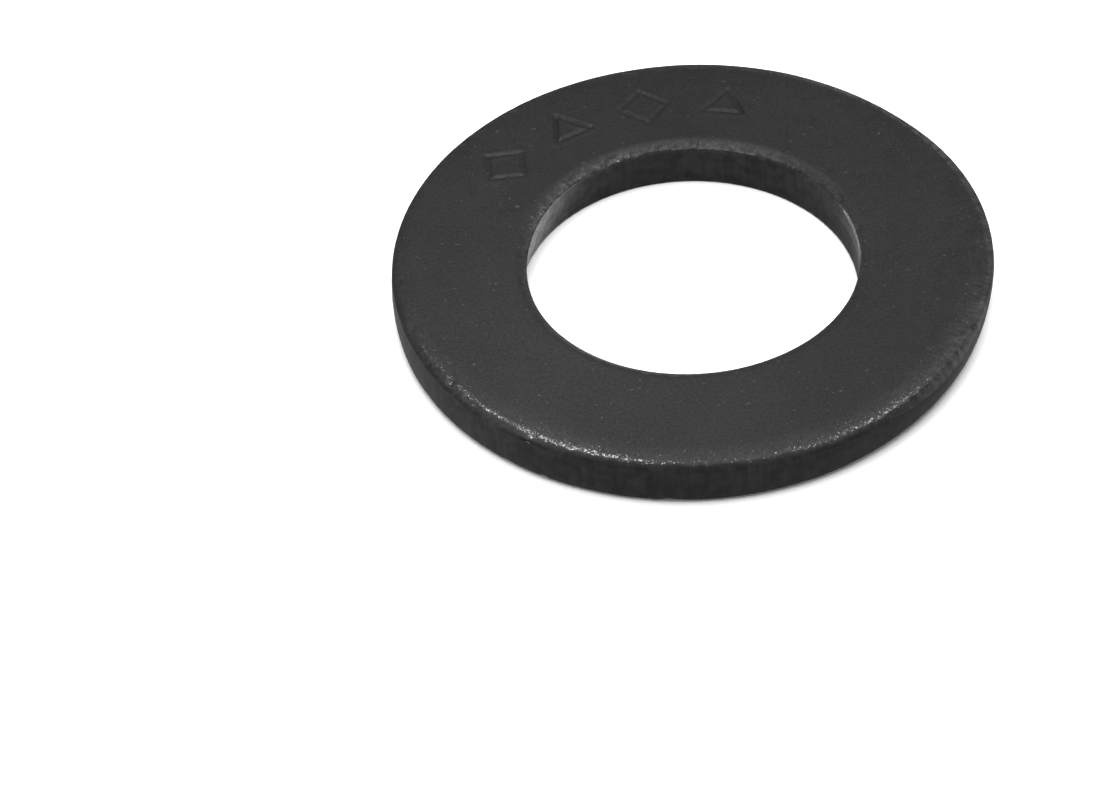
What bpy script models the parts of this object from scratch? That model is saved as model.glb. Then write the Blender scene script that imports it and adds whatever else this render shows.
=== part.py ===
"""Flat structural washer, 1 inch size: one steel ring, blanked, pierced and stamped in a press.

Units are metres and +Z is up. The origin is the centre of the lower bearing face, on the bore's
axis. The stamped face looks up.

The ring has the edges that a press leaves. The upper corners are rolled down where the tools went
in: a wide shallow roll on the outside, a narrower one round the bore. Below the burnished land the
metal broke away, so the rim rounds in towards the lower face and the bore widens towards it.
"""
import math

import bmesh
import bpy
from mathutils import Matrix, Vector

MM = 0.001

# Driving dimensions.
OUTER_RADIUS = 25.4 * MM
BORE_RADIUS = 14.29 * MM
THICKNESS = 4.3 * MM

# Upper corners, rolled down: how far they reach across the face, and how far they drop.
OUTER_ROLL_WIDTH = 1.15 * MM
OUTER_ROLL_DROP = 0.38 * MM
BORE_ROLL_WIDTH = 0.76 * MM
BORE_ROLL_DROP = 0.45 * MM

# Lower corners: the rim rounds in, and the bore opens out to a small break at the face.
RIM_HEEL_WIDTH = 0.95 * MM
RIM_HEEL_HEIGHT = 1.5 * MM
BORE_LAND_BOTTOM = 2.2 * MM
BORE_FLARE = 0.2 * MM
BORE_BREAK = 0.12 * MM

# Stamped row of plain polygon outlines on the upper face, each inside a circle MARK_ACROSS wide.
MARK_CIRCLE_RADIUS = 19.8 * MM
MARK_FIRST_ANGLE = math.radians(139.0)
MARK_SPACING = math.radians(-20.5)
MARK_ACROSS = 4.8 * MM
MARK_STROKE = 0.42 * MM
MARK_DEPTH = 0.16 * MM
MARK_SIDES = (4, 3, 4, 3)

SEGMENTS = 120
ROLL_STEPS = 4
SMOOTH_ANGLE = math.radians(35)
CUTTER_OVERSHOOT = 1.0 * MM


def quarter_arc(corner_x, corner_z, width, height, steps):
    """Points round a corner, from its upright side to its level side, both ends included.

    The corner of the square-edged ring is at (corner_x, corner_z). The arc leaves the upright wall
    at height away from the corner and reaches the level face at width away from it.
    """
    points = []
    for step in range(steps + 1):
        turn = 0.5 * math.pi * step / steps
        x = corner_x - width * (1.0 - math.cos(turn))
        z = corner_z - height * (1.0 - math.sin(turn))
        points.append((x, z))
    return points


def ring_profile():
    """Closed outline of the ring's section as (radius, height) pairs, starting at the bore's foot."""
    bore_foot = [
        (BORE_RADIUS + BORE_FLARE + BORE_BREAK, 0.0),
        (BORE_RADIUS + BORE_FLARE, BORE_BREAK),
        (BORE_RADIUS, BORE_LAND_BOTTOM),
    ]
    bore_lip = quarter_arc(BORE_RADIUS, THICKNESS, -BORE_ROLL_WIDTH, BORE_ROLL_DROP, ROLL_STEPS)
    outer_lip = quarter_arc(OUTER_RADIUS, THICKNESS, OUTER_ROLL_WIDTH, OUTER_ROLL_DROP, ROLL_STEPS)
    heel = quarter_arc(OUTER_RADIUS, 0.0, RIM_HEEL_WIDTH, -RIM_HEEL_HEIGHT, ROLL_STEPS)
    return bore_foot + bore_lip + outer_lip[::-1] + heel


def spun_ring(name):
    """Spin the profile about the bore's axis into one closed ring."""
    mesh_data = bmesh.new()
    verts = [mesh_data.verts.new((x, 0.0, z)) for x, z in ring_profile()]
    edges = [mesh_data.edges.new((a, b)) for a, b in zip(verts, verts[1:] + verts[:1])]
    bmesh.ops.spin(
        mesh_data,
        geom=verts + edges,
        cent=(0.0, 0.0, 0.0),
        axis=(0.0, 0.0, 1.0),
        angle=2.0 * math.pi,
        steps=SEGMENTS,
        use_merge=True,
    )
    bmesh.ops.remove_doubles(mesh_data, verts=mesh_data.verts[:], dist=0.001 * MM)
    bmesh.ops.recalc_face_normals(mesh_data, faces=mesh_data.faces[:])
    return finish_mesh(mesh_data, name)


def finish_mesh(mesh_data, name):
    """Turn mesh data into a smooth-shaded object that keeps its real corners sharp."""
    mesh = bpy.data.meshes.new(name)
    mesh_data.to_mesh(mesh)
    mesh_data.free()
    mesh.shade_smooth()
    mesh.set_sharp_from_angle(angle=SMOOTH_ANGLE)
    obj = bpy.data.objects.new(name, mesh)
    bpy.context.scene.collection.objects.link(obj)
    return obj


def add_outline_prism(mesh_data, sides, place):
    """Add one polygon outline, a frame of even stroke, as an upright closed prism."""
    outer_radius = 0.5 * MARK_ACROSS
    inner_radius = outer_radius - MARK_STROKE / math.cos(math.pi / sides)
    loops = []
    for radius in (outer_radius, inner_radius):
        for height in (-MARK_DEPTH, CUTTER_OVERSHOOT):
            loop = []
            for side in range(sides):
                turn = 0.5 * math.pi + 2.0 * math.pi * side / sides
                point = Vector((radius * math.cos(turn), radius * math.sin(turn), height))
                loop.append(mesh_data.verts.new(place @ point))
            loops.append(loop)
    outer_low, outer_high, inner_low, inner_high = loops
    for loop_a, loop_b in (
        (outer_low, outer_high),
        (outer_high, inner_high),
        (inner_high, inner_low),
        (inner_low, outer_low),
    ):
        for side in range(sides):
            after = (side + 1) % sides
            mesh_data.faces.new((loop_a[side], loop_a[after], loop_b[after], loop_b[side]))


def mark_cutter(name):
    """The four stamped outlines as one hidden cutter, set along the mark circle."""
    mesh_data = bmesh.new()
    for index, sides in enumerate(MARK_SIDES):
        angle = MARK_FIRST_ANGLE + index * MARK_SPACING
        place = (
            Matrix.Rotation(angle, 4, "Z")
            @ Matrix.Translation((MARK_CIRCLE_RADIUS, 0.0, THICKNESS))
            @ Matrix.Rotation(-0.5 * math.pi, 4, "Z")
        )
        add_outline_prism(mesh_data, sides, place)
    bmesh.ops.recalc_face_normals(mesh_data, faces=mesh_data.faces[:])
    cutter = finish_mesh(mesh_data, name)
    cutter.hide_render = True
    cutter.display_type = "WIRE"
    return cutter


def black_oxide_steel():
    """Hardened steel with a dull black oxide skin."""
    material = bpy.data.materials.new("black_oxide_steel")
    material.use_nodes = True
    shader = material.node_tree.nodes["Principled BSDF"]
    shader.inputs["Base Color"].default_value = (0.045, 0.045, 0.046, 1.0)
    shader.inputs["Metallic"].default_value = 0.6
    shader.inputs["Roughness"].default_value = 0.5
    return material


def main():
    for obj in list(bpy.data.objects):
        bpy.data.objects.remove(obj, do_unlink=True)

    ring = spun_ring("washer_ring")
    ring.data.materials.append(black_oxide_steel())

    stamping = ring.modifiers.new("stamped_marks", "BOOLEAN")
    stamping.operation = "DIFFERENCE"
    stamping.solver = "EXACT"
    stamping.object = mark_cutter("mark_cutter")


main()
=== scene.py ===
"""Looks of the flat structural washer: a black-oxide steel ring on a plain pale floor.

Lengths in this file are millimetres unless a name or comment says otherwise, and MM turns them into
the scene's metres. Places round the ring are degrees from +X, anticlockwise as seen from above, so
the camera's side is at -90 and the left end of the ring at 180.

The ring is rebuilt as one dense closed mesh inside the CAD ring's own box, with the rolled corners,
the sheared walls, the knocks and the stamped outlines as real shape. The shape also gives masks, and
one procedural material reads them: the oxide's tone, and the steel that shows where it is rubbed. The
tone also holds painted light, shade, sheen and glow on the upper face, the walls, the outer corner and
the bore's lip.
"""

import math
from collections import namedtuple

import bpy
import numpy as np
from mathutils import Matrix, Vector


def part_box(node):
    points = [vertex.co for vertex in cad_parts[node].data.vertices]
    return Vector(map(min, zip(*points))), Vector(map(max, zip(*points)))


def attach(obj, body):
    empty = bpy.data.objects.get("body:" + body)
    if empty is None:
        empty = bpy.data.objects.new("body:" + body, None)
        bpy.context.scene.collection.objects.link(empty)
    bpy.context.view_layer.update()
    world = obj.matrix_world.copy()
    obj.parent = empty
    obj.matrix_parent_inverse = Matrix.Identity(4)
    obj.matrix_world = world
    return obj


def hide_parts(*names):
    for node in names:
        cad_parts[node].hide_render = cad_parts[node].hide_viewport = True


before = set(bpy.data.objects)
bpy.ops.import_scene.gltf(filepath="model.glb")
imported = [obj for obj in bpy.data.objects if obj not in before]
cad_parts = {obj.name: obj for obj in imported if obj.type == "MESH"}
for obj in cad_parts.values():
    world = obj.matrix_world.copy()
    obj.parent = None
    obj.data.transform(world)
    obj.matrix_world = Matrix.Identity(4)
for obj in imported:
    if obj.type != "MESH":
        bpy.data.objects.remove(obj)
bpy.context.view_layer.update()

MM = 0.001
TAU = 2.0 * math.pi
SEED = 11

# The ring's own size, from the CAD frame. A box doesn't show the bore, so its radius is repeated here.
RING_NODE = "washer_ring"
ring_low, ring_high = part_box(RING_NODE)
OUTER_RADIUS = ring_high[0] / MM
THICKNESS = (ring_high[2] - ring_low[2]) / MM
BORE_RADIUS = 14.29

# The bore is a little tighter than the CAD bore. Below its land it flares out to a small break.
BORE_TIGHTER = 0.12
BORE_FLARE = 0.12
BORE_BREAK = 0.12

# How far the upper face sits to the right of the lower one, how far the surface stays inside the CAD
# ring, and the least height of upright wall that the corners leave on the rim.
LEAN = 0.36
SKIN_MARGIN = 0.012
SHORTEST_RIM = 0.12

# Stamped outlines: polygons with this many sides, set round an arc of the upper face.
MARK_SIDES = (4, 3, 4, 3)
MARK_CIRCLE_RADIUS = 19.8
MARK_FIRST_ANGLE = 139.0
MARK_SPACING = -20.5
MARK_ACROSS = 4.8
MARK_STROKE = 0.42
MARK_DEPTH = 0.15
MARK_RIDGE = 0.02

# Mesh stations. Round the ring, each stretch has its start, its end and its step. Across the upper
# face, each stretch has its two radii and its count.
ANGLE_STRETCHES = ((-170.0, -10.0, 0.42), (-10.0, 66.0, 0.85), (66.0, 152.0, 0.29), (152.0, 190.0, 0.7))
FACE_STRETCHES = ((24.2, 22.4, 7), (22.4, 17.2, 50), (17.2, 15.1, 8))
BASE_SHARES = np.linspace(0.0, 1.0, 7)[:-1]
RIM_SHARES = np.array([0.3, 0.65, 0.95, 1.0])
LAND_SHARES = np.array([0.02, 0.1, 0.3, 0.5, 0.75, 1.0])
FLARE_SHARES = np.linspace(0.0, 1.0, 6)[1:]
ROLL_STEPS = 12
LIP_STEPS = 10
HEEL_STEPS = 11

# A value that differs round the ring: its mean, bells that are added to it, each as its height, middle
# and width, and a seeded wave of this height made of these harmonics, weaker as their order rises.
Drift = namedtuple("Drift", "mean bells wave orders falloff", defaults=((), 0.0, (), 1.0))

# Seeded noise in streaks along the section: its strength, how many random values there are in a turn
# and how many along the section, and how far apart those are.
Streaks = namedtuple("Streaks", "strength per_turn rows row_gap")

# Knocks along a corner: how many, how wide and how deep.
Knocks = namedtuple("Knocks", "count widths depths")

# Places that several drifts share, as the middle and width of a bell.
FRONT = (-92.0, 34.0)
RIGHT_FRONT = (-34.0, 22.0)
LEFT_FRONT = (-148.0, 18.0)
BEVEL = (-36.0, 12.0)
NEAR_LIP = (-60.0, 55.0)

# The rolled outer corner: its width across the face, its drop down the rim, and its curve's handle as
# corner_curve takes it.
ROLL_WIDTH = Drift(
    mean=0.60,
    bells=((0.06, *FRONT), (-0.20, *RIGHT_FRONT), (0.16, *LEFT_FRONT), (0.25, *BEVEL)),
    wave=0.05,
    orders=(1, 2, 3, 5, 8),
)
ROLL_DROP = Drift(0.24, ((0.04, *FRONT), (0.70, *BEVEL)), wave=0.02, orders=(2, 3, 5))
ROLL_LEAN = Drift(0.10, ((0.30, *FRONT), (0.10, *LEFT_FRONT)))
ROLL_REACH = Drift(1.0, ((-0.30, *FRONT), (-0.40, *BEVEL)))

# The rolled lip round the bore, and how far its crest stands into the bore.
LIP_WIDTH = Drift(1.25, ((-0.45, *NEAR_LIP),), wave=0.08, orders=(2, 3, 4, 7))
LIP_DROP = Drift(0.46, ((-0.26, *NEAR_LIP),), wave=0.03, orders=(1, 3, 4))
LIP_REACH = 0.50
CREST_IN = Drift(0.0, ((0.30, 168.0, 20.0), (0.20, 9.0, 13.0)))

# The rim's foot rounds in towards the lower face.
HEEL_WIDTH = Drift(0.85, ((0.60, *RIGHT_FRONT),), wave=0.06, orders=(1, 2, 5, 9))
HEEL_HEIGHT = Drift(3.1, wave=0.15, orders=(1, 3, 4, 7))
HEEL_REACH = 0.95

# Height at which each wall's burnished land ends and the torn metal starts.
RIM_LAND_BOTTOM = Drift(1.7, wave=0.25, orders=(2, 3, 5, 7, 11, 17), falloff=0.5)
BORE_LAND_BOTTOM = Drift(2.2, wave=0.22, orders=(2, 5, 7, 11, 17), falloff=0.5)

# How the upper face bows down towards the rim, and how far the outline is from round.
CROWN_WIDTH = Drift(2.7, ((0.6, *RIGHT_FRONT),))
CROWN_DEPTH = Drift(0.10, ((0.26, *RIGHT_FRONT), (0.22, *FRONT), (0.10, *LEFT_FRONT)))
OUT_OF_ROUND = Drift(0.025, ((0.14, 44.0, 13.0),), wave=0.025, orders=(3, 5, 7, 12, 19), falloff=0.6)

# Small unevenness of both upper corners' width, of the walls, of all corners and of the faces, and how
# deep it is cut.
RAGGED_CORNERS = (Streaks(0.05, 160, 2, 1.0), Streaks(0.04, 420, 2, 1.0))
DRAG_LINES = (Streaks(0.5, 1100, 4, 2.2), Streaks(0.5, 420, 3, 3.0))
TORN_METAL = (Streaks(0.6, 520, 24, 0.22), Streaks(0.4, 260, 12, 0.45))
CRUMBLING = (Streaks(1.0, 1000, 3, 1.0),)
ROLLED_PLATE = (Streaks(1.0, 36, 6, 2.4),)
WALL_SKIN = 0.012
DRAG_DEPTH = 0.008
TEAR_DEPTH = 0.020
CRUMBLE_DEPTH = 0.016
PLATE_DEPTH = 0.006

# Knocks along the corners. Those on the rim are faint at the bevel.
RIM_KNOCKS = Knocks(46, (0.5, 1.9), (0.02, 0.08))
DEEP_RIM_KNOCKS = Knocks(9, (0.5, 1.1), (0.06, 0.14))
LIP_KNOCKS = Knocks(26, (0.4, 1.4), (0.02, 0.07))
HEEL_KNOCKS = Knocks(30, (0.5, 2.0), (0.02, 0.09))
RIM_KNOCK_STRENGTH = Drift(1.0, ((-0.9, -32.0, 12.0),))

# Rubbing: the thin line along the outer corner and the dust of specks in from it. On the bore's lip a
# painted glow with rubbed chips, a painted glow beside the lip, and a rubbed line along the crest.
RUB = Drift(
    mean=0.05,
    bells=((0.28, -115.0, 10.0), (0.40, -140.0, 8.0), (0.12, -66.0, 9.0)),
    wave=0.12,
    orders=(2, 3, 5, 9, 14),
    falloff=0.5,
)
DUST = Drift(
    mean=0.22,
    bells=((0.72, -117.0, 18.0), (0.47, -57.0, 17.0), (0.36, -156.0, 9.0), (-0.15, 90.0, 70.0)),
    wave=0.10,
    orders=(2, 3, 5, 9),
    falloff=0.5,
)
LIP_SHEEN_AND_RUB = Drift(
    mean=0.52,
    bells=((0.65, 137.0, 18.0), (-0.38, 14.0, 20.0)),
    wave=0.16,
    orders=(2, 3, 5, 9, 14),
    falloff=0.5,
)
# A painted glow on the face and lip beside the bore's crest, at the left.
LIP_GLOW = Drift(0.0, ((0.30, 151.0, 15.0),))
CREST_RUB = Drift(0.0, ((1.4, 8.0, 10.0),))

# Painted sheen that lightens the oxide, in scuffed streaks: a glow on the face beside the bevel, a sheen,
# a darker middle and a highlight line down the bevel, paler stretches all over the roll, and a pale line
# along the roll's foot.
SCUFF_STREAKS = (Streaks(1.0, 700, 10, 0.55),)
SHOULDER_SHEEN = Drift(0.0, ((1.0, -32.0, 17.0),))
BEVEL_SHEEN_AND_SHADE = Drift(0.0, ((1.0, *BEVEL),))
ROLL_SHEEN = Drift(0.0, ((0.3, -145.0, 14.0), (1.3, 35.0, 32.0)))
ROLL_FOOT_SHEEN = Drift(0.0, ((0.45, -136.0, 16.0),))

# The oxide's tone: painted light and shade on the upper face, lighter at the near left and darker at the
# right front, the far side and the left end; painted light and shade on the rim; a painted reflection on
# the bore's left wall; where down the roll the wall's tone starts; and the bore's burnished stretch.
FACE_LIGHT_AND_SHADE = Drift(
    mean=1.0,
    bells=((0.12, -140.0, 24.0), (-0.12, -38.0, 36.0), (-0.26, 95.0, 42.0), (-0.07, 178.0, 16.0)),
)
# Painted light on the rim at the left front, and painted shade on it at the right front.
RIM_LIGHT_AND_SHADE = Drift(0.0, ((0.35, -135.0, 14.0), (-0.60, -38.0, 14.0)))
# A painted reflection: the bore's left wall is made much paler.
BORE_REFLECTION = Drift(0.0, ((2.7, 162.0, 12.0),))
# Painted shade: at the front the wall's darker tone starts at the top of the roll.
WALL_TONE_START = Drift(0.0, ((0.6, -150.0, 18.0), (0.7, -36.0, 15.0), (-0.35, -95.0, 20.0)))
BURNISHED_BORE = Drift(0.0, ((1.0, 156.0, 16.0),))

# Mean grey levels of the oxide.
FACE_TONE = 0.0150
WALL_TONE = 0.0128

# Surroundings: grey levels at the horizon, and above it behind the washer and in front of it.
HORIZON_LEVEL = 1.0
BACK_LEVEL = 0.50
FRONT_LEVEL = 0.45

# Suns as wide discs: azimuth, elevation and width in degrees, then strength. Azimuth 0 is the camera's
# side, 90 its left and 180 behind the washer.
SUNS = {
    "sky": (188.0, 82.0, 60.0, 2.10),
    "overhead": (0.0, 80.0, 32.0, 1.55),
    "right": (-122.0, 48.0, 40.0, 0.65),
}

# Soft boxes: azimuth and elevation in degrees, distance and size in millimetres, and power in watts.
SOFT_BOXES = {
    "back_box": (168.0, 62.0, 150.0, 90.0, 0.065),
    "left_box": (60.0, 42.0, 200.0, 120.0, 0.035),
}

# The floor's half width, how far it lies under the washer, and its grey level.
FLOOR_HALF = 3000.0
FLOOR_GAP = 0.01
FLOOR_GREY = 0.95

# The camera: where it aims, its elevation and roll in degrees, its distance, its lens, and how near
# and how far it sees.
CAMERA_AIM = (-12.47, -11.94, 0.0)
CAMERA_ELEVATION = 43.58
CAMERA_ROLL = 3.67
CAMERA_DISTANCE = 370.7
CAMERA_LENS = 147.3
CAMERA_SENSOR = 36.0
CAMERA_NEAR = 10.0
CAMERA_FAR = 20000.0


# ---------------------------------------------------------------- small helpers


def smoothstep(low, high, value):
    """A smooth S from 0 at low to 1 at high. It falls instead of rising if low is the larger."""
    t = np.clip((value - low) / (high - low), 0.0, 1.0)
    return t * t * (3.0 - 2.0 * t)


def between(start, end, share):
    """The value at this share of the way from start to end."""
    return start + (end - start) * share


def beside(distance, width):
    """A bell across a line: 1 on it, and fading within width of it."""
    return np.exp(-(distance / width) ** 2)


def around(angle, middle, width):
    """A bell round the circle: 1 at middle. The angle is in radians, middle and width in degrees."""
    gap = (np.degrees(angle) - middle + 180.0) % 360.0 - 180.0
    return np.exp(-0.5 * (gap / width) ** 2)


def wavy(rng, angle, orders, falloff):
    """A smooth closed wave round the circle, about 1 high, from the given harmonics."""
    total = np.zeros_like(angle)
    weight = 0.0
    for order in orders:
        share = order ** -falloff
        total += share * np.sin(order * angle + rng.uniform(0.0, TAU))
        weight += share * share
    return total / math.sqrt(0.5 * weight) / 2.0


def value_noise(table, u, v):
    """Smooth noise from a table of values: u wraps round the table, and v is held at its ends."""
    rows, columns = table.shape
    row = np.floor(u).astype(int)
    column = np.clip(np.floor(v).astype(int), 0, columns - 2)
    share_u = smoothstep(0.0, 1.0, u - row)
    share_v = smoothstep(0.0, 1.0, v - column)
    row_a = row % rows
    row_b = (row + 1) % rows
    low = between(table[row_a, column], table[row_b, column], share_u)
    high = between(table[row_a, column + 1], table[row_b, column + 1], share_u)
    return between(low, high, share_v)


def random_table(rng, rows, columns):
    """Values in [-1, 1] for value_noise."""
    return rng.uniform(-1.0, 1.0, (rows, columns))


# ---------------------------------------------------------------- parts of the ring's shape


def angle_stations():
    """Angles round the ring in radians, closer together where the marks and the near rim need it."""
    angles = []
    for start, end, step in ANGLE_STRETCHES:
        count = int(round((end - start) / step))
        angles += [between(start, end, i / count) for i in range(count)]
    return np.radians(np.array(angles))


def face_shares():
    """Shares of the way across the upper face, outside to inside, closer together at the marks."""
    outer = FACE_STRETCHES[0][0]
    inner = FACE_STRETCHES[-1][1]
    radii = []
    for start, end, count in FACE_STRETCHES:
        radii += [between(start, end, i / count) for i in range(count)]
    radii.append(inner)
    return (outer - np.array(radii)) / (outer - inner)


def corner_curve(count, width, drop, reach, lean=0.0):
    """A rolled corner from the level face to the upright wall, as distances across and down.

    The curve's handle sits at reach of the width and lean of the drop: lean 0 leaves the face
    smoothly and more lean leaves it at a crease, and reach 1 meets the wall smoothly.
    """
    s = np.linspace(0.0, 1.0, count + 1)
    across = width * (2.0 * s * (1.0 - s) * reach + s * s)
    down = drop * (2.0 * s * (1.0 - s) * lean + s * s)
    return across, down


def outward(radius, height):
    """Unit normals of the closed section, in the plane of radius and height."""
    run = np.roll(radius, -1, axis=1) - np.roll(radius, 1, axis=1)
    rise = np.roll(height, -1, axis=1) - np.roll(height, 1, axis=1)
    length = np.hypot(run, rise)
    return rise / length, -run / length


def knock_field(rng, angle, corner_radius, knocks):
    """Depth of the knocks along a corner, for every angle: each a short notch with soft ends."""
    field = np.zeros_like(angle)
    for _ in range(knocks.count):
        centre = rng.uniform(0.0, TAU)
        half = 0.5 * rng.uniform(*knocks.widths) / corner_radius
        depth = rng.uniform(*knocks.depths)
        gap = (angle - centre + math.pi) % TAU - math.pi
        field = np.maximum(field, depth * np.clip(1.0 - (gap / half) ** 2, 0.0, 1.0))
    return field


def polygon_corners(sides, middle):
    """Corners of one stamped outline's centre line on the upper face, one of them pointing outward."""
    reach = 0.5 * MARK_ACROSS - 0.5 * MARK_STROKE / math.cos(math.pi / sides)
    centre = MARK_CIRCLE_RADIUS * np.array([math.cos(middle), math.sin(middle)])
    turns = middle + TAU * np.arange(sides) / sides
    return centre + reach * np.stack([np.cos(turns), np.sin(turns)], axis=1)


def distance_to_segment(x, y, start, end):
    """Distance of every point to a straight stroke."""
    along = end - start
    t = ((x - start[0]) * along[0] + (y - start[1]) * along[1]) / float(along @ along)
    t = np.clip(t, 0.0, 1.0)
    return np.hypot(x - start[0] - t * along[0], y - start[1] - t * along[1])


def stamp_relief(rng, x, y):
    """Sink of the upper face at the stamped outlines, and how deep in a groove each point is.

    Each stroke is a soft groove, with a low ridge of metal pushed up beside it. Strokes are struck
    with different force, and the force varies along them.
    """
    groove_reach = 0.36
    ridge_distance = 0.46
    ridge_width = 0.16
    blotch_size = 0.7
    sink = np.zeros_like(x)
    stamped = np.zeros_like(x)
    blotches = random_table(rng, 97, 2)
    for index, sides in enumerate(MARK_SIDES):
        corners = polygon_corners(sides, math.radians(MARK_FIRST_ANGLE + index * MARK_SPACING))
        groove = np.zeros_like(x)
        ridge = np.zeros_like(x)
        for side in range(sides):
            gap = distance_to_segment(x, y, corners[side], corners[(side + 1) % sides])
            force = rng.uniform(0.65, 1.0)
            force = force * (0.85 + 0.3 * value_noise(blotches, x / blotch_size, 0.0))
            groove = np.maximum(groove, force * smoothstep(groove_reach, 0.0, gap))
            ridge = np.maximum(ridge, force * beside(gap - ridge_distance, ridge_width))
        sink = sink + MARK_DEPTH * groove - MARK_RIDGE * ridge * (1.0 - groove)
        stamped = np.maximum(stamped, groove)
    return sink, stamped


def lay_out(radius, angle, height):
    """X and Y of the section's points. The ring leans a little, and is that much narrower across X."""
    squeeze = 1.0 - 0.5 * LEAN / OUTER_RADIUS
    x = radius * np.cos(angle) * squeeze + LEAN * (height / THICKNESS - 0.5)
    return x, radius * np.sin(angle)


# ---------------------------------------------------------------- the ring


class Ring:
    """The ring as a grid, with a row for every angle and a column for every station of its section.

    The look depends on the order of the random draws, so the calls that draw stay in their order.
    """

    def __init__(self, rng):
        self.rng = rng
        self.angle = angle_stations()[:, None]
        self.size_corners()
        self.lay_section()
        self.measure()
        self.carve()

    def drift(self, value):
        """A Drift's value at every angle."""
        total = value.mean
        for height, middle, width in value.bells:
            total = total + height * around(self.angle, middle, width)
        if value.orders:
            total = total + value.wave * wavy(self.rng, self.angle, value.orders, value.falloff)
        return total

    def streaks(self, layers, distance):
        """The sum of these layers of Streaks, at this distance along them."""
        turn = (self.angle % TAU) / TAU
        total = 0.0
        for layer in layers:
            table = random_table(self.rng, layer.per_turn, layer.rows)
            noise = value_noise(table, turn * layer.per_turn, distance / layer.row_gap)
            total = total + layer.strength * noise
        return total

    def zone(self, *names):
        """1 at the stations of these zones, and 0 at the others."""
        return np.isin(self.zones, names)[None, :].astype(float)

    def size_corners(self):
        """Sizes of the section's corners and walls. They differ round the ring, as a press leaves them."""
        ragged = self.streaks(RAGGED_CORNERS, 0.0)
        self.roll_width = self.drift(ROLL_WIDTH) + ragged
        self.roll_drop = self.drift(ROLL_DROP)
        self.lip_width = self.drift(LIP_WIDTH) + 0.4 * ragged
        self.lip_drop = self.drift(LIP_DROP)
        self.heel_width = self.drift(HEEL_WIDTH)
        tallest_heel = THICKNESS - self.roll_drop - SHORTEST_RIM
        self.heel_height = np.minimum(self.drift(HEEL_HEIGHT), tallest_heel)
        self.rim_land_bottom = self.drift(RIM_LAND_BOTTOM)
        self.bore_land_bottom = self.drift(BORE_LAND_BOTTOM)

    def lay_section(self):
        """Radius and height of every station of the plain section, and the zone that it is in.

        The section runs from the bore's foot out along the lower face, up the rim, in across the
        upper face and down the bore.
        """
        bore = BORE_RADIUS - BORE_TIGHTER
        foot = bore + BORE_FLARE + BORE_BREAK
        crest = bore - self.drift(CREST_IN)
        self.roll_start = OUTER_RADIUS - self.roll_width
        self.heel_start = OUTER_RADIUS - self.heel_width
        self.lip_start = crest + self.lip_width
        self.roll_bottom = THICKNESS - self.roll_drop
        self.lip_bottom = THICKNESS - self.lip_drop
        reach = self.drift(ROLL_REACH)
        lean = self.drift(ROLL_LEAN)
        roll_across, roll_down = corner_curve(ROLL_STEPS, self.roll_width, self.roll_drop, reach, lean)
        lip_across, lip_down = corner_curve(LIP_STEPS, self.lip_width, self.lip_drop, LIP_REACH)
        heel_across, heel_up = corner_curve(HEEL_STEPS, self.heel_width, self.heel_height, HEEL_REACH)
        stations = {
            "base": (between(foot, self.heel_start, BASE_SHARES), 0.0),
            "heel": (self.heel_start + heel_across, heel_up),
            "rim": (OUTER_RADIUS, between(self.heel_height, self.roll_bottom, RIM_SHARES)),
            "roll": (self.roll_start + roll_across[:, -2::-1], THICKNESS - roll_down[:, -2::-1]),
            "face": (between(self.roll_start, self.lip_start, face_shares()[1:]), THICKNESS),
            "lip": (self.lip_start - lip_across[:, 1:], THICKNESS - lip_down[:, 1:]),
            "land": (
                between(crest, bore, LAND_SHARES),
                between(self.lip_bottom, self.bore_land_bottom, LAND_SHARES),
            ),
            "flare": (
                between(bore, bore + BORE_FLARE, FLARE_SHARES),
                between(self.bore_land_bottom, BORE_BREAK, FLARE_SHARES),
            ),
        }
        ones = np.ones_like(self.angle)
        grids = [np.broadcast_arrays(ones * across, ones * up) for across, up in stations.values()]
        self.radius = np.concatenate([across for across, _ in grids], axis=1)
        self.height = np.concatenate([up for _, up in grids], axis=1)
        self.zones = np.repeat(list(stations), [across.shape[1] for across, _ in grids])

    def measure(self):
        """Where the stations of the plain section lie, for the detail, the worn spots and the painted
        sheen.

        Inset runs in from the outer roll's edge and offset out from the bore lip's edge. Down the
        walls both go on below zero. Roll fall is the share of the roll's drop.
        """
        self.upper = self.height > 0.5 * THICKNESS
        self.outer_side = self.radius > 0.5 * (OUTER_RADIUS + BORE_RADIUS)
        self.wall = self.zone("rim", "heel", "land", "flare")
        self.roll_fall = (THICKNESS - self.height) / self.roll_drop
        self.down_bore = np.clip(self.lip_bottom - self.height, 0.0, None)
        down_rim = np.clip(self.roll_bottom - self.height, 0.0, None)
        self.inset = self.roll_start - self.radius - np.where(self.outer_side, down_rim, 0.0)
        self.offset = self.radius - self.lip_start - np.where(self.outer_side, 0.0, self.down_bore)

    def carve(self):
        """Cut the walls' texture, the knocks, the stamping and the bow into the plain section."""
        normal_r, normal_z = outward(self.radius, self.height)
        faces = 1.0 - self.wall
        sink = self.wall_texture()
        squash = self.drift(OUT_OF_ROUND) * smoothstep(1.6, 0.0, OUTER_RADIUS - self.radius)
        sink = sink + self.corner_knocks()
        plate = 1.0 + self.streaks(ROLLED_PLATE, self.radius - BORE_RADIUS)
        sink = sink + PLATE_DEPTH * plate * faces
        mark, stamped = stamp_relief(self.rng, *lay_out(self.radius, self.angle, self.height))
        self.stamped = stamped * self.upper
        sink = sink + mark * self.upper + SKIN_MARGIN + MARK_RIDGE * self.upper * faces
        bow = self.bow()
        self.radius = self.radius - normal_r * sink - np.where(self.outer_side, squash, 0.0)
        self.height = self.height - normal_z * sink - bow

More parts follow.
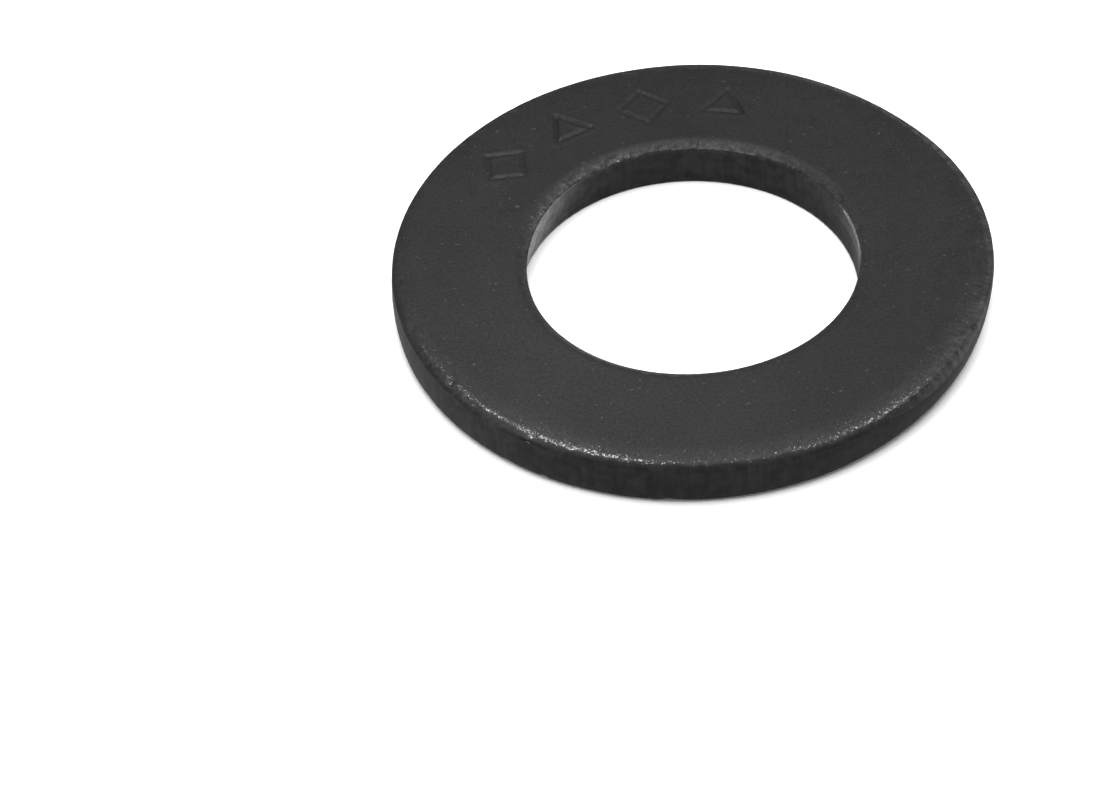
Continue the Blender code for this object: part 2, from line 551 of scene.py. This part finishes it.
    def wall_texture(self):
        """Sink of the walls: upright drag lines from the tools, and torn metal below the lands."""
        drag = self.streaks(DRAG_LINES, self.height)
        tear = self.streaks(TORN_METAL, self.height)
        ragged_height = self.height - 0.2 * drag
        rim_torn = smoothstep(0.5, 0.0, ragged_height - self.rim_land_bottom)
        self.bore_torn = smoothstep(0.35, 0.0, ragged_height - self.bore_land_bottom)
        torn = np.where(self.outer_side, 0.5 * rim_torn, self.bore_torn)
        return self.wall * (WALL_SKIN + DRAG_DEPTH * drag + torn * TEAR_DEPTH * (1.0 + tear))

    def corner_knocks(self):
        """Sink of the corners: dents where washers have knocked together, and a fine crumbling."""
        rim = knock_field(self.rng, self.angle, OUTER_RADIUS, RIM_KNOCKS)
        rim = rim + knock_field(self.rng, self.angle, OUTER_RADIUS, DEEP_RIM_KNOCKS)
        rim = rim * self.drift(RIM_KNOCK_STRENGTH)
        lip = knock_field(self.rng, self.angle, BORE_RADIUS, LIP_KNOCKS)
        heel = knock_field(self.rng, self.angle, OUTER_RADIUS, HEEL_KNOCKS)
        crumble = CRUMBLE_DEPTH * (0.5 + 0.5 * self.streaks(CRUMBLING, self.height))

        # Where each corner is dented: a line along it, and how far to both sides of that line.
        at_roll = beside(self.inset + 0.12, 0.30) * self.upper
        at_crease = smoothstep(0.35, 1.0, self.roll_fall) * self.zone("roll")
        at_lip = beside(self.radius - BORE_RADIUS - 0.20, 0.28) * self.upper
        self.at_heel = beside(self.radius - self.heel_start - 0.25, 0.35) * (self.height < 0.5)
        self.rim_knock = rim * np.maximum(at_roll, at_crease)
        return self.rim_knock + lip * at_lip + heel * self.at_heel + crumble * (at_roll + at_lip)

    def bow(self):
        """How far the upper face bows down towards the rim, as the blanking punch leaves it."""
        share = np.clip(1.0 - (OUTER_RADIUS - self.radius) / self.drift(CROWN_WIDTH), 0.0, 1.0)
        rise = smoothstep(self.rim_land_bottom, THICKNESS - 0.6, self.height)
        return self.drift(CROWN_DEPTH) * share**2 * rise

    def points(self):
        """X, Y and Z of the whole grid."""
        return np.stack([*lay_out(self.radius, self.angle, self.height), self.height], axis=2)

    def masks(self):
        """What the material reads at every point."""
        rub = np.clip(self.drift(RUB), 0.0, 1.0)
        masks = {
            "inset": self.inset,
            "offset": self.offset,
            "rub": rub,
            "dusty": np.clip(self.drift(DUST), 0.0, 1.0),
            "shoulder_sheen_and_scuff": self.paint_shoulder_sheen(),
            "lip_sheen_and_rub": self.lip_sheen_and_rub(),
            "wear_and_sheen": self.wear_and_sheen_spots(rub),
            "crest": self.rubbed_crest(),
            "wall": self.wall_tone_share(),
            "wall_tone_and_painted_light": self.paint_wall_tone_and_light(),
            "painted_face_shading": self.drift(FACE_LIGHT_AND_SHADE),
            "burnish": self.burnished_bore(),
            "stamped": self.stamped,
        }
        return {name: np.broadcast_to(values, self.radius.shape) for name, values in masks.items()}

    def paint_shoulder_sheen(self):
        """How much painted sheen lightens the outer corner's oxide, in scuffed streaks."""
        inward = OUTER_RADIUS - self.radius
        beside_bevel = smoothstep(3.2, 0.1, inward) * self.zone("face", "roll")

        # Down the bevel: a painted sheen at its upper edge, painted shade halfway, and a thin painted
        # highlight at its foot.
        bevel = 0.75 * smoothstep(0.45, 0.0, self.roll_fall)
        bevel = bevel - 0.35 * smoothstep(0.35, 0.65, self.roll_fall)
        bevel = bevel + 1.3 * smoothstep(0.70, 0.84, self.roll_fall)

        foot = smoothstep(0.45, 0.85, self.roll_fall)
        roll = bevel * self.drift(BEVEL_SHEEN_AND_SHADE) + self.drift(ROLL_SHEEN)
        roll = roll + foot * self.drift(ROLL_FOOT_SHEEN)
        scuff = beside_bevel * self.drift(SHOULDER_SHEEN) + roll * self.zone("roll")
        streaks = 0.95 + 0.9 * self.streaks(SCUFF_STREAKS, inward)
        return np.clip(scuff * streaks, 0.0, 2.0)

    def lip_sheen_and_rub(self):
        """How much painted glow and rubbing the bore's lip has. It fades just below the lip."""
        rub = np.clip(self.drift(LIP_SHEEN_AND_RUB), 0.05, 1.2)
        return rub * np.where(self.outer_side, 1.0, smoothstep(0.22, 0.04, self.down_bore))

    def wear_and_sheen_spots(self, rub):
        """Wear in the knocks and at the lower corners, a painted highlight along the roll's crease, and a
        painted glow beside the lip.
        """
        knock = np.clip((self.rim_knock - 0.05) / 0.08, 0.0, 1.0)
        foot_radius = BORE_RADIUS + BORE_FLARE + BORE_BREAK
        at_foot = beside(self.radius - foot_radius, 0.25) * (self.height < 0.4)
        crease = smoothstep(0.60, 0.95, self.roll_fall) * self.zone("roll")
        # Along the roll's crease this is a painted highlight line.
        wear_and_sheen = 0.55 * knock + 0.45 * at_foot + 0.4 * self.at_heel + 0.30 * crease * rub
        from_crest = self.radius - self.lip_start + self.lip_width
        lip_glow = smoothstep(2.2, 0.3, from_crest) * self.zone("face", "lip") * self.drift(LIP_GLOW)
        return np.maximum(np.clip(wear_and_sheen, 0.0, 1.0), lip_glow)

    def rubbed_crest(self):
        """A thin bright line along the bore's crest, at the right end of the ring."""
        below = self.lip_bottom - self.height
        line = smoothstep(-0.06, -0.01, below) * smoothstep(0.16, 0.07, below)
        return line * self.zone("lip", "land") * np.clip(self.drift(CREST_RUB), 0.0, 1.0)

    def wall_tone_share(self):
        """How far each point has the wall's tone and not the face's. It changes over on the roll: early at
        the front, as painted shade, and later at the left front and the bevel.
        """
        on_roll = smoothstep(0.0, 0.7, self.roll_fall - self.drift(WALL_TONE_START))
        return np.where(self.zone("roll") > 0.0, on_roll, self.wall)

    def paint_wall_tone_and_light(self):
        """Painted light and shade on the walls, as how much paler, or darker below zero, they are than
        their mean: lighter at the rim's left front and darker at its right front, a painted reflection on
        the bore's left wall, and paler torn metal down the bore, partly its own greyer tone and partly
        painted light from the floor.
        """
        # On the bore: paler where torn, partly the torn metal's greyer tone and partly painted light from
        # the floor, and a painted reflection on its left wall.
        bore = 0.42 * self.bore_torn + self.drift(BORE_REFLECTION)
        return self.drift(RIM_LIGHT_AND_SHADE) * self.zone("rim", "heel") + bore * self.zone("land", "flare")

    def burnished_bore(self):
        """How smooth the bore's wall is."""
        smooth = 0.25 * (1.0 - self.bore_torn) + self.drift(BURNISHED_BORE)
        return np.clip(smooth, 0.0, 1.0) * self.zone("land", "flare")


def grid_mesh(name, points, masks):
    """Join the closed grid of points into one smooth mesh, with each mask as a point attribute."""
    rows, columns, _ = points.shape
    index = np.arange(rows * columns).reshape(rows, columns)
    next_row = np.roll(index, -1, axis=0)
    corners = [next_row, np.roll(next_row, -1, axis=1), np.roll(index, -1, axis=1), index]
    quads = np.stack(corners, axis=2).reshape(-1, 4)
    mesh = bpy.data.meshes.new(name)
    mesh.vertices.add(rows * columns)
    mesh.vertices.foreach_set("co", (points.reshape(-1) * MM).astype(np.float32))
    mesh.loops.add(quads.size)
    mesh.loops.foreach_set("vertex_index", quads.reshape(-1).astype(np.int32))
    mesh.polygons.add(len(quads))
    mesh.polygons.foreach_set("loop_start", (np.arange(len(quads)) * 4).astype(np.int32))
    mesh.update(calc_edges=True)
    mesh.validate()
    mesh.shade_smooth()
    for mask, values in masks.items():
        layer = mesh.attributes.new(mask, "FLOAT", "POINT")
        layer.data.foreach_set("value", values.reshape(-1).astype(np.float32))
    return mesh


# ---------------------------------------------------------------- materials


class Graph:
    """Short names for the shader nodes that this scene uses. Each returns its node's output."""

    def __init__(self, owner):
        self.tree = owner.node_tree

    def link(self, source, target):
        if isinstance(source, (int, float)):
            target.default_value = source
        else:
            self.tree.links.new(source, target)

    def math(self, operation, *values):
        node = self.tree.nodes.new("ShaderNodeMath")
        node.operation = operation
        for value, socket in zip(values, node.inputs):
            self.link(value, socket)
        return node.outputs[0]

    def add(self, a, b):
        return self.math("ADD", a, b)

    def times(self, a, b):
        return self.math("MULTIPLY", a, b)

    def times_add(self, a, factor, addend):
        return self.math("MULTIPLY_ADD", a, factor, addend)

    def larger(self, a, b):
        return self.math("MAXIMUM", a, b)

    def noise(self, vector, scale, detail, roughness, distortion=0.0):
        node = self.tree.nodes.new("ShaderNodeTexNoise")
        self.link(vector, node.inputs["Vector"])
        node.inputs["Scale"].default_value = scale
        node.inputs["Detail"].default_value = detail
        node.inputs["Roughness"].default_value = roughness
        node.inputs["Distortion"].default_value = distortion
        return node.outputs["Fac"]

    def span(self, value, low, high, to_low=0.0, to_high=1.0, smooth=True):
        node = self.tree.nodes.new("ShaderNodeMapRange")
        node.interpolation_type = "SMOOTHSTEP" if smooth else "LINEAR"
        ends = {"From Min": low, "From Max": high, "To Min": to_low, "To Max": to_high}
        self.link(value, node.inputs["Value"])
        for name, end in ends.items():
            self.link(end, node.inputs[name])
        return node.outputs["Result"]

    def blend(self, share, a, b):
        node = self.tree.nodes.new("ShaderNodeMix")
        node.data_type = "FLOAT"
        self.link(share, node.inputs["Factor"])
        self.link(a, node.inputs["A"])
        self.link(b, node.inputs["B"])
        return node.outputs["Result"]

    def attribute(self, name):
        node = self.tree.nodes.new("ShaderNodeAttribute")
        node.attribute_name = name
        return node.outputs["Fac"]

    def stretch(self, vector, scale):
        node = self.tree.nodes.new("ShaderNodeVectorMath")
        node.operation = "MULTIPLY"
        self.link(vector, node.inputs[0])
        node.inputs[1].default_value = scale
        return node.outputs["Vector"]

    def grey(self, value):
        node = self.tree.nodes.new("ShaderNodeCombineColor")
        for socket in ("Red", "Green", "Blue"):
            self.link(value, node.inputs[socket])
        return node.outputs["Color"]


class OxideSteel(Graph):
    """Dull black oxide with mottling and grain, and bare steel in specks where it is rubbed. Its tone also
    holds painted light, shade, sheen and glow.

    Noise scales are per millimetre. Wear, thinness and bareness run from 0 to about 1. Wear and thinness
    also carry painted sheen.
    """

    def __init__(self, material):
        super().__init__(material)
        coordinates = self.tree.nodes.new("ShaderNodeTexCoord").outputs["Object"]
        self.place = self.stretch(coordinates, (1.0 / MM, 1.0 / MM, 1.0 / MM))
        self.wall = self.attribute("wall")
        self.shoulder_sheen_and_scuff = self.attribute("shoulder_sheen_and_scuff")
        self.mottle = self.noise(self.place, scale=0.9, detail=4.0, roughness=0.6)
        self.grain = self.noise(self.place, scale=4.0, detail=3.0, roughness=0.65)
        self.fleck = self.noise(self.place, scale=5.8, detail=3.0, roughness=0.75, distortion=0.4)
        upright_place = self.stretch(self.place, (1.0, 1.0, 0.07))
        self.upright = self.noise(upright_place, scale=2.6, detail=3.0, roughness=0.6)
        self.wobble = self.times_add(self.grain, 0.16, self.times_add(self.mottle, 0.30, -0.23))
        self.lip_sheen_and_wear = self.sheen_and_worn_lip()
        self.wear_and_sheen = self.worn()
        self.bare = self.bare_steel()

    def worn_rim(self):
        """Wear of the outer corner: a thin line along its edge, and dust in from it."""
        inset = self.add(self.attribute("inset"), self.wobble)
        line_gap = self.math("ABSOLUTE", self.add(inset, -0.13))
        line = self.times(self.span(line_gap, 0.06, 0.28, 0.48, 0.0), self.attribute("rub"))
        dust = self.span(inset, 2.0, 0.05, 0.0, 0.44, smooth=False)
        dust = self.times(dust, self.span(inset, -0.25, -0.05))
        return self.add(line, self.times(dust, self.attribute("dusty")))

    def sheen_and_worn_lip(self):
        """Painted glow and wear of the bore's lip: a chipped band that grows from the lip's outer edge to
        its crest.
        """
        offset = self.add(self.attribute("offset"), self.wobble)
        blotches = self.noise(self.place, scale=2.3, detail=2.0, roughness=0.6)
        chips = self.span(blotches, 0.42, 0.62, 0.66, 1.75)
        band = self.times(self.span(offset, -0.2, -1.6), chips)
        return self.times(band, self.attribute("lip_sheen_and_rub"))

    def worn(self):
        """Wear and painted sheen from all causes. The lip's is mostly a painted glow of paler oxide, with
        few specks.
        """
        wear_and_sheen = self.larger(self.attribute("wear_and_sheen"), self.worn_rim())
        return self.larger(wear_and_sheen, self.span(self.lip_sheen_and_wear, 0.0, 0.8, 0.0, 0.24, smooth=False))

    def bare_steel(self):
        """Specks that crowd along the worn corners, stray ones elsewhere, and the rubbed crest."""
        fray = self.times(self.shoulder_sheen_and_scuff, 0.07)
        limit = self.times_add(self.add(self.wear_and_sheen, fray), -0.46, 0.74)
        specks = self.span(self.fleck, limit, self.add(limit, 0.07))
        specks = self.times(specks, self.span(self.grain, 0.25, 0.6, 0.35, 1.0))
        return self.larger(specks, self.span(self.attribute("crest"), 0.2, 0.9, 0.0, 0.9))

    def face_level(self):
        """Grey level of the faces' oxide: broad clouds, small mottling, a fine grain and pale dots, times
        painted light and shade across the face, and painted shade in the stamped grooves.
        """
        clouds = self.noise(self.place, scale=0.16, detail=3.0, roughness=0.55)
        tone = self.times_add(clouds, 0.45, -0.40)
        tone = self.times_add(self.mottle, 0.45, tone)
        tone = self.larger(self.times_add(self.grain, 1.9, tone), 0.2)
        dots = self.noise(self.place, scale=2.7, detail=1.0, roughness=0.4)
        tone = self.times_add(self.span(dots, 0.73, 0.79), 1.8, tone)
        # Painted shade: the tone is a fifth darker deep in the stamped grooves.
        tone = self.times(tone, self.span(self.attribute("stamped"), 0.2, 1.0, 1.0, 0.8))
        # Painted light and shade across the face: lighter at the near left, darker at the right front, the
        # far side and the left end.
        return self.times(self.times(tone, self.attribute("painted_face_shading")), FACE_TONE)

    def wall_level(self):
        """Grey level of the walls' oxide: upright streaks, blotches, and painted light, shade and
        reflection.
        """
        tone = self.times_add(self.upright, 1.1, 0.45)
        # Painted light, shade and reflection on the walls.
        tone = self.times(tone, self.add(self.attribute("wall_tone_and_painted_light"), 1.0))
        tone = self.times(tone, self.span(self.mottle, 0.35, 0.65, 0.75, 1.25))
        return self.times(tone, WALL_TONE)

    def colour(self):
        """Oxide, which is greyer where rubbing has thinned it and paler for the painted sheen on the outer
        corner and the painted glow on the bore's lip, and steel where it is gone.
        """
        level = self.blend(self.wall, self.face_level(), self.wall_level())
        # On the bore's lip the oxide is made much paler as a painted glow.
        thin = self.larger(self.span(self.wear_and_sheen, 0.0, 0.8), self.times(self.lip_sheen_and_wear, 2.5))
        # Painted sheen on the outer corner lightens the oxide.
        thin = self.times_add(self.shoulder_sheen_and_scuff, 0.9, thin)
        oxide = self.times(level, self.add(thin, 1.0))
        shine = self.noise(self.place, scale=6.0, detail=1.0, roughness=0.5)
        steel = self.span(shine, 0.3, 0.7, 0.12, 0.38)
        return self.grey(self.blend(self.bare, oxide, steel))

    def roughness(self):
        """Dull faces, duller walls with a smoother burnished stretch, and smoother bare steel."""
        face = self.span(self.mottle, 0.3, 0.7, 0.42, 0.52)
        patchy = self.span(self.mottle, 0.36, 0.6, 0.72, 1.0)
        burnish = self.times(self.attribute("burnish"), patchy)
        oxide = self.blend(self.wall, face, self.blend(burnish, 0.75, 0.20))
        return self.blend(self.bare, oxide, 0.38)

    def relief(self):
        """Height for the bump: grain and mottling, streaks on the walls, and pits where it is worn."""
        even = self.times_add(self.grain, 0.5, self.times(self.mottle, 0.8))
        relief = self.blend(self.wall, even, self.times_add(self.upright, 0.9, even))
        scuffed = self.larger(self.wear_and_sheen, self.times(self.shoulder_sheen_and_scuff, 1.1))
        return self.times_add(self.times(self.fleck, scuffed), 1.2, relief)


def oxide_material():
    """The ring's one material."""
    material = bpy.data.materials.new("black_oxide_steel")
    material.use_nodes = True
    shader = material.node_tree.nodes["Principled BSDF"]
    shader.inputs["Specular IOR Level"].default_value = 0.25
    steel = OxideSteel(material)
    bump = material.node_tree.nodes.new("ShaderNodeBump")
    bump.inputs["Strength"].default_value = 0.35
    bump.inputs["Distance"].default_value = 0.06 * MM
    steel.link(steel.relief(), bump.inputs["Height"])
    steel.link(steel.colour(), shader.inputs["Base Color"])
    steel.link(steel.span(steel.bare, 0.0, 1.0, 0.7, 0.95), shader.inputs["Metallic"])
    steel.link(steel.roughness(), shader.inputs["Roughness"])
    steel.link(bump.outputs["Normal"], shader.inputs["Normal"])
    return material


def floor_material():
    """An even matt pale surface."""
    material = bpy.data.materials.new("pale_floor")
    material.use_nodes = True
    shader = material.node_tree.nodes["Principled BSDF"]
    shader.inputs["Base Color"].default_value = (FLOOR_GREY, FLOOR_GREY, FLOOR_GREY, 1.0)
    shader.inputs["Roughness"].default_value = 0.9
    shader.inputs["Specular IOR Level"].default_value = 0.0
    return material


# ---------------------------------------------------------------- piece, floor, light, camera


def washer():
    """The dense ring that stands for the CAD ring."""
    shape = Ring(np.random.default_rng(SEED))
    mesh = grid_mesh("worn_washer_ring", shape.points(), shape.masks())
    mesh.materials.append(oxide_material())
    ring = bpy.data.objects.new("worn_washer_ring", mesh)
    bpy.context.scene.collection.objects.link(ring)
    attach(ring, "root")
    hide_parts(RING_NODE)


def floor():
    """A plain pale floor under the washer."""
    half = FLOOR_HALF * MM
    corners = [(-half, -half, 0.0), (half, -half, 0.0), (half, half, 0.0), (-half, half, 0.0)]
    mesh = bpy.data.meshes.new("floor")
    mesh.from_pydata(corners, [], [(0, 1, 2, 3)])
    mesh.materials.append(floor_material())
    plane = bpy.data.objects.new("floor", mesh)
    plane.location.z = ring_low[2] - FLOOR_GAP * MM
    bpy.context.scene.collection.objects.link(plane)


def add_light(name, data, azimuth, elevation, distance=0.0):
    """Place a light that shines on the washer from this azimuth and elevation."""
    turn = math.radians(azimuth)
    rise = math.radians(elevation)
    level = math.cos(rise)
    away = Vector((-math.sin(turn) * level, -math.cos(turn) * level, math.sin(rise)))
    light = bpy.data.objects.new(name, data)
    light.location = away * distance
    light.rotation_mode = "QUATERNION"
    light.rotation_quaternion = away.to_track_quat("Z", "Y")
    bpy.context.scene.collection.objects.link(light)
    return light


def lights():
    """Wide suns from above, behind and the right, and soft boxes behind and at the left."""
    for name, (azimuth, elevation, width, strength) in SUNS.items():
        data = bpy.data.lights.new(name, "SUN")
        data.angle = math.radians(width)
        data.energy = strength
        add_light(name, data, azimuth, elevation)
    for name, (azimuth, elevation, distance, size, power) in SOFT_BOXES.items():
        data = bpy.data.lights.new(name, "AREA")
        data.shape = "SQUARE"
        data.size = size * MM
        data.energy = power
        box = add_light(name, data, azimuth, elevation, distance * MM)
        box.visible_camera = False


def surroundings():
    """Pale surroundings that are brightest at the horizon and dimmer above it."""
    world = bpy.data.worlds.new("studio")
    world.use_nodes = True
    graph = Graph(world)
    background = world.node_tree.nodes["Background"]
    split = world.node_tree.nodes.new("ShaderNodeSeparateXYZ")
    direction = world.node_tree.nodes.new("ShaderNodeTexCoord").outputs["Generated"]
    graph.link(direction, split.inputs[0])
    above = graph.span(split.outputs["Y"], -0.5, 0.5, FRONT_LEVEL, BACK_LEVEL)
    level = graph.blend(graph.span(split.outputs["Z"], 0.10, 0.45), HORIZON_LEVEL, above)
    graph.link(graph.grey(level), background.inputs["Color"])
    bpy.context.scene.world = world
    bpy.context.scene.view_settings.view_transform = "Standard"


def camera():
    """A long lens looking down at the washer, which sits to the upper right of the frame's middle."""
    elevation = math.radians(CAMERA_ELEVATION)
    back = Vector((0.0, -math.cos(elevation), math.sin(elevation)))
    place = (Vector(CAMERA_AIM) + back * CAMERA_DISTANCE) * MM
    level = (-back).to_track_quat("-Z", "Y").to_matrix().to_4x4()
    roll = Matrix.Rotation(-math.radians(CAMERA_ROLL), 4, "Z")
    data = bpy.data.cameras.new("camera")
    data.sensor_width = CAMERA_SENSOR
    data.lens = CAMERA_LENS
    data.clip_start = CAMERA_NEAR * MM
    data.clip_end = CAMERA_FAR * MM
    view = bpy.data.objects.new("camera", data)
    view.matrix_world = Matrix.Translation(place) @ level @ roll
    bpy.context.scene.collection.objects.link(view)
    bpy.context.scene.camera = view


washer()
floor()
lights()
surroundings()
camera()
